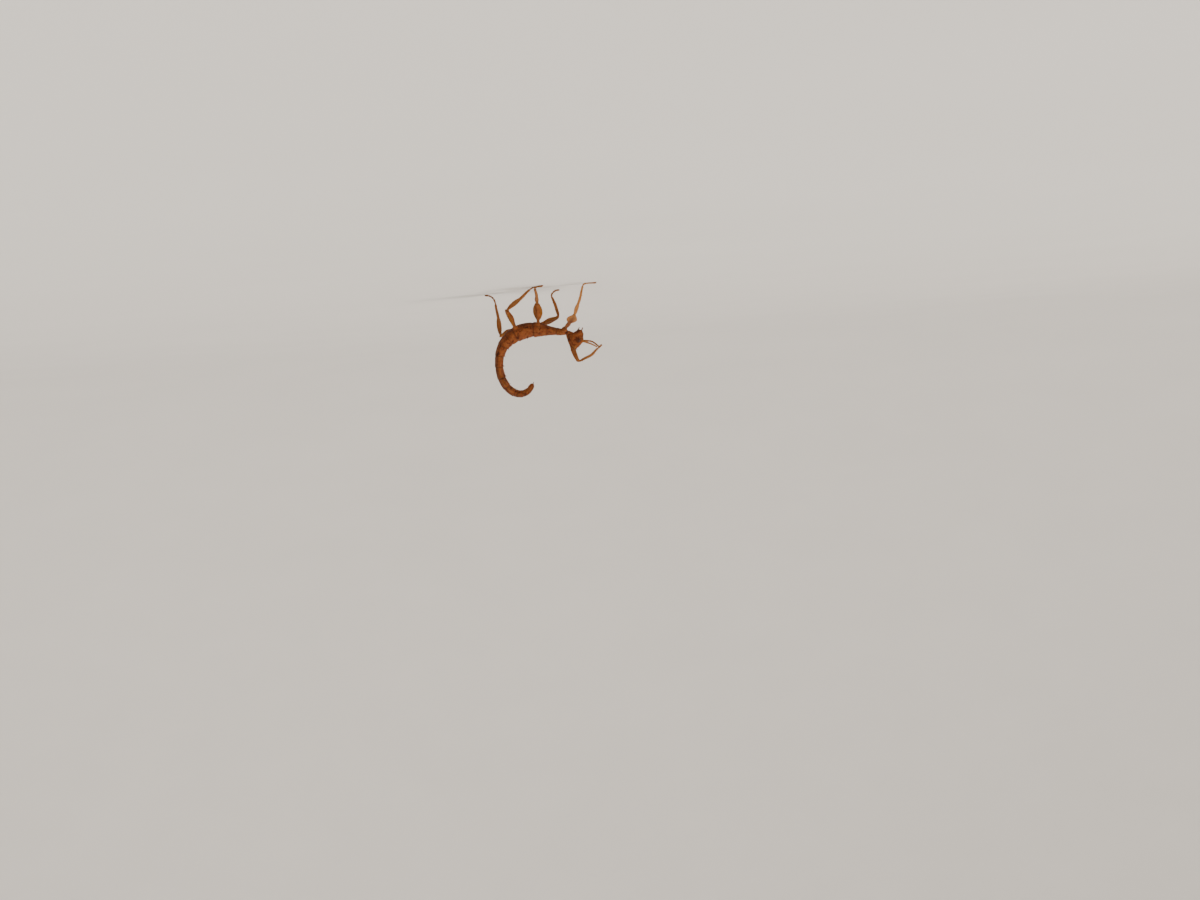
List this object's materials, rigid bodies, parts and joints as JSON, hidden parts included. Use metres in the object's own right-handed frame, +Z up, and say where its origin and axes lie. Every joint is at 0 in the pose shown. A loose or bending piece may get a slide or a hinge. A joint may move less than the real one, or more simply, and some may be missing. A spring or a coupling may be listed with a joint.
{
  "type": "stick insect",
  "caption": "Life-size young prickly stick insect in an alert stance, abdomen curled up over its back, one front leg raised and the others standing on the floor.",
  "frame": {"origin": "on the floor, under the middle of the animal's box", "axes": "the head points along -Y, the animal's left side is +X and up is +Z; the feet stand on z = 0"},
  "size_m": [0.0326, 0.0366, 0.0336],
  "materials": {
    "cuticle": "satin",
    "belly": "satin",
    "leg": "satin",
    "foot": "satin",
    "eye": "gloss"
  },
  "bodies": {
    "root": {"head": "cuticle", "prothorax": "cuticle", "mesothorax": "cuticle", "metathorax": "cuticle", "abdomen_base": "cuticle", "abdomen_rise": "cuticle", "abdomen_bend": "cuticle", "abdomen_tip": "cuticle", "mouthparts": "belly", "eye_left": "eye", "eye_right": "eye", "antenna_left": "leg", "antenna_right": "leg", "femur_front_left": "leg", "femur_front_right": "leg", "femur_middle_left": "leg", "femur_middle_right": "leg", "femur_hind_left": "leg", "femur_hind_right": "leg", "tibia_front_left": "leg", "tibia_front_right": "leg", "tibia_middle_left": "leg", "tibia_middle_right": "leg", "tibia_hind_left": "leg", "tibia_hind_right": "leg", "tarsus_front_left": "foot", "tarsus_front_right": "foot", "tarsus_middle_left": "foot", "tarsus_middle_right": "foot", "tarsus_hind_left": "foot", "tarsus_hind_right": "foot"}
  },
  "joints": []
}
